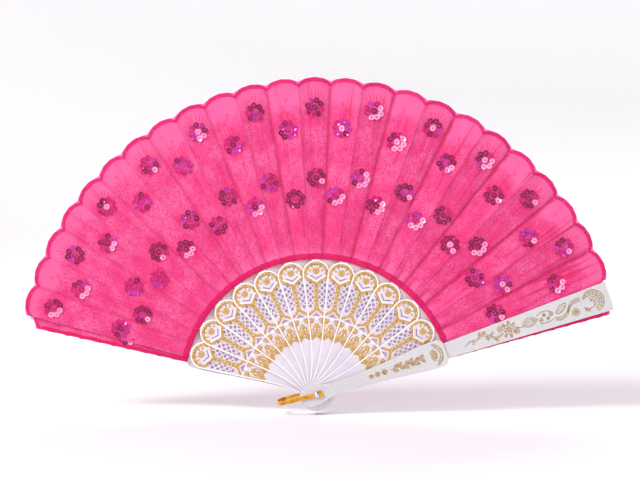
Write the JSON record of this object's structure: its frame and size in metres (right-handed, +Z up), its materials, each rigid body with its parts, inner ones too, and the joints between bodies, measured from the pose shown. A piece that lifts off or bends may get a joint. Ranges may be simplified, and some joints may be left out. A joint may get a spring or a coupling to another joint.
{
  "type": "folding hand fan",
  "caption": "Folding hand fan: pierced plastic sticks and two guards on one rivet, a pleated, scalloped cloth leaf and a bail loop.",
  "frame": {"origin": "on the rivet's axis, halfway through the stack of sticks", "axes": "+Y along the rivet from the front guard to the rear guard, +X to the right seen from the front, +Z up the open leaf"},
  "size_m": [0.4222, 0.0242, 0.2392],
  "materials": {
    "white_plastic": "glossy",
    "pink_cloth": "woven, slightly sheer",
    "silver": "polished",
    "gold": "polished"
  },
  "bodies": {
    "front_guard": {"front_guard_plate": "white_plastic", "front_guard_bar": "white_plastic", "leaf_front_guard": "pink_cloth", "rivet": "silver", "rivet_clinch_cap": "silver"},
    "fold_00": {"leaf_fold_00": "pink_cloth"},
    "stick_01": {"stick_01": "white_plastic", "leaf_stick_01": "pink_cloth"},
    "fold_01": {"leaf_fold_01": "pink_cloth"},
    "stick_02": {"stick_02": "white_plastic", "leaf_stick_02": "pink_cloth"},
    "fold_02": {"leaf_fold_02": "pink_cloth"},
    "stick_03": {"stick_03": "white_plastic", "leaf_stick_03": "pink_cloth"},
    "fold_03": {"leaf_fold_03": "pink_cloth"},
    "stick_04": {"stick_04": "white_plastic", "leaf_stick_04": "pink_cloth"},
    "fold_04": {"leaf_fold_04": "pink_cloth"},
    "stick_05": {"stick_05": "white_plastic", "leaf_stick_05": "pink_cloth"},
    "fold_05": {"leaf_fold_05": "pink_cloth"},
    "stick_06": {"stick_06": "white_plastic", "leaf_stick_06": "pink_cloth"},
    "fold_06": {"leaf_fold_06": "pink_cloth"},
    "stick_07": {"stick_07": "white_plastic", "leaf_stick_07": "pink_cloth"},
    "fold_07": {"leaf_fold_07": "pink_cloth"},
    "stick_08": {"stick_08": "white_plastic", "leaf_stick_08": "pink_cloth"},
    "fold_08": {"leaf_fold_08": "pink_cloth"},
    "stick_09": {"stick_09": "white_plastic", "leaf_stick_09": "pink_cloth"},
    "fold_09": {"leaf_fold_09": "pink_cloth"},
    "stick_10": {"stick_10": "white_plastic", "leaf_stick_10": "pink_cloth"},
    "fold_10": {"leaf_fold_10": "pink_cloth"},
    "stick_11": {"stick_11": "white_plastic", "leaf_stick_11": "pink_cloth"},
    "fold_11": {"leaf_fold_11": "pink_cloth"},
    "stick_12": {"stick_12": "white_plastic", "leaf_stick_12": "pink_cloth"},
    "fold_12": {"leaf_fold_12": "pink_cloth"},
    "rear_guard": {"leaf_rear_guard": "pink_cloth", "rear_guard_bar": "white_plastic", "rear_guard_plate": "white_plastic"},
    "bail": {"bail": "gold"}
  },
  "joints": [
    {"name": "fan_fold", "type": "hinge", "parent": "front_guard", "child": "stick_01", "pos_m": [0, 0, 0], "axis": [0, 1, 0], "range_deg": [0, 11.95]},
    {"name": "stick_02_fold", "type": "hinge", "parent": "stick_01", "child": "stick_02", "pos_m": [0, 0, 0], "axis": [0, 1, 0], "range_deg": [0, 11.95]},
    {"name": "stick_03_fold", "type": "hinge", "parent": "stick_02", "child": "stick_03", "pos_m": [0, 0, 0], "axis": [0, 1, 0], "range_deg": [0, 11.95]},
    {"name": "stick_04_fold", "type": "hinge", "parent": "stick_03", "child": "stick_04", "pos_m": [0, 0, 0], "axis": [0, 1, 0], "range_deg": [0, 11.95]},
    {"name": "stick_05_fold", "type": "hinge", "parent": "stick_04", "child": "stick_05", "pos_m": [0, 0, 0], "axis": [0, 1, 0], "range_deg": [0, 11.95]},
    {"name": "stick_06_fold", "type": "hinge", "parent": "stick_05", "child": "stick_06", "pos_m": [0, 0, 0], "axis": [0, 1, 0], "range_deg": [0, 11.95]},
    {"name": "stick_07_fold", "type": "hinge", "parent": "stick_06", "child": "stick_07", "pos_m": [0, 0, 0], "axis": [0, 1, 0], "range_deg": [0, 11.95]},
    {"name": "stick_08_fold", "type": "hinge", "parent": "stick_07", "child": "stick_08", "pos_m": [0, 0, 0], "axis": [0, 1, 0], "range_deg": [0, 11.95]},
    {"name": "stick_09_fold", "type": "hinge", "parent": "stick_08", "child": "stick_09", "pos_m": [0, 0, 0], "axis": [0, 1, 0], "range_deg": [0, 11.95]},
    {"name": "stick_10_fold", "type": "hinge", "parent": "stick_09", "child": "stick_10", "pos_m": [0, 0, 0], "axis": [0, 1, 0], "range_deg": [0, 11.95]},
    {"name": "stick_11_fold", "type": "hinge", "parent": "stick_10", "child": "stick_11", "pos_m": [0, 0, 0], "axis": [0, 1, 0], "range_deg": [0, 11.95]},
    {"name": "stick_12_fold", "type": "hinge", "parent": "stick_11", "child": "stick_12", "pos_m": [0, 0, 0], "axis": [0, 1, 0], "range_deg": [0, 11.95]},
    {"name": "pleat_00_fold", "type": "hinge", "parent": "front_guard", "child": "fold_00", "pos_m": [0, 0, 0], "axis": [0, 1, 0], "range_deg": [0, 5.97]},
    {"name": "pleat_01_fold", "type": "hinge", "parent": "stick_01", "child": "fold_01", "pos_m": [0, 0, 0], "axis": [0, 1, 0], "range_deg": [0, 5.97]},
    {"name": "pleat_02_fold", "type": "hinge", "parent": "stick_02", "child": "fold_02", "pos_m": [0, 0, 0], "axis": [0, 1, 0], "range_deg": [0, 5.97]},
    {"name": "pleat_03_fold", "type": "hinge", "parent": "stick_03", "child": "fold_03", "pos_m": [0, 0, 0], "axis": [0, 1, 0], "range_deg": [0, 5.97]},
    {"name": "pleat_04_fold", "type": "hinge", "parent": "stick_04", "child": "fold_04", "pos_m": [0, 0, 0], "axis": [0, 1, 0], "range_deg": [0, 5.97]},
    {"name": "pleat_05_fold", "type": "hinge", "parent": "stick_05", "child": "fold_05", "pos_m": [0, 0, 0], "axis": [0, 1, 0], "range_deg": [0, 5.97]},
    {"name": "pleat_06_fold", "type": "hinge", "parent": "stick_06", "child": "fold_06", "pos_m": [0, 0, 0], "axis": [0, 1, 0], "range_deg": [0, 5.97]},
    {"name": "pleat_07_fold", "type": "hinge", "parent": "stick_07", "child": "fold_07", "pos_m": [0, 0, 0], "axis": [0, 1, 0], "range_deg": [0, 5.97]},
    {"name": "pleat_08_fold", "type": "hinge", "parent": "stick_08", "child": "fold_08", "pos_m": [0, 0, 0], "axis": [0, 1, 0], "range_deg": [0, 5.97]},
    {"name": "pleat_09_fold", "type": "hinge", "parent": "stick_09", "child": "fold_09", "pos_m": [0, 0, 0], "axis": [0, 1, 0], "range_deg": [0, 5.97]},
    {"name": "pleat_10_fold", "type": "hinge", "parent": "stick_10", "child": "fold_10", "pos_m": [0, 0, 0], "axis": [0, 1, 0], "range_deg": [0, 5.97]},
    {"name": "pleat_11_fold", "type": "hinge", "parent": "stick_11", "child": "fold_11", "pos_m": [0, 0, 0], "axis": [0, 1, 0], "range_deg": [0, 5.97]},
    {"name": "rear_guard_spread", "type": "hinge", "parent": "stick_12", "child": "rear_guard", "pos_m": [0, 0, 0], "axis": [0, 1, 0], "range_deg": [-11.05, 0.9]},
    {"name": "pleat_12_fold", "type": "hinge", "parent": "stick_12", "child": "fold_12", "pos_m": [0, 0, 0], "axis": [0, 1, 0], "range_deg": [-5.53, 0.45]},
    {"name": "bail_swing", "type": "hinge", "parent": "front_guard", "child": "bail", "pos_m": [0, 0, 0], "axis": [0, -1, 0], "range_deg": [-4, 170]}
  ],
  "couplings": [
    {"joint": "stick_02_fold", "follows": "fan_fold", "ratio": 1},
    {"joint": "stick_03_fold", "follows": "fan_fold", "ratio": 1},
    {"joint": "stick_04_fold", "follows": "fan_fold", "ratio": 1},
    {"joint": "stick_05_fold", "follows": "fan_fold", "ratio": 1},
    {"joint": "stick_06_fold", "follows": "fan_fold", "ratio": 1},
    {"joint": "stick_07_fold", "follows": "fan_fold", "ratio": 1},
    {"joint": "stick_08_fold", "follows": "fan_fold", "ratio": 1},
    {"joint": "stick_09_fold", "follows": "fan_fold", "ratio": 1},
    {"joint": "stick_10_fold", "follows": "fan_fold", "ratio": 1},
    {"joint": "stick_11_fold", "follows": "fan_fold", "ratio": 1},
    {"joint": "stick_12_fold", "follows": "fan_fold", "ratio": 1},
    {"joint": "pleat_00_fold", "follows": "fan_fold", "ratio": 0.5},
    {"joint": "pleat_01_fold", "follows": "fan_fold", "ratio": 0.5},
    {"joint": "pleat_02_fold", "follows": "fan_fold", "ratio": 0.5},
    {"joint": "pleat_03_fold", "follows": "fan_fold", "ratio": 0.5},
    {"joint": "pleat_04_fold", "follows": "fan_fold", "ratio": 0.5},
    {"joint": "pleat_05_fold", "follows": "fan_fold", "ratio": 0.5},
    {"joint": "pleat_06_fold", "follows": "fan_fold", "ratio": 0.5},
    {"joint": "pleat_07_fold", "follows": "fan_fold", "ratio": 0.5},
    {"joint": "pleat_08_fold", "follows": "fan_fold", "ratio": 0.5},
    {"joint": "pleat_09_fold", "follows": "fan_fold", "ratio": 0.5},
    {"joint": "pleat_10_fold", "follows": "fan_fold", "ratio": 0.5},
    {"joint": "pleat_11_fold", "follows": "fan_fold", "ratio": 0.5},
    {"joint": "pleat_12_fold", "follows": "rear_guard_spread", "ratio": 0.5}
  ]
}
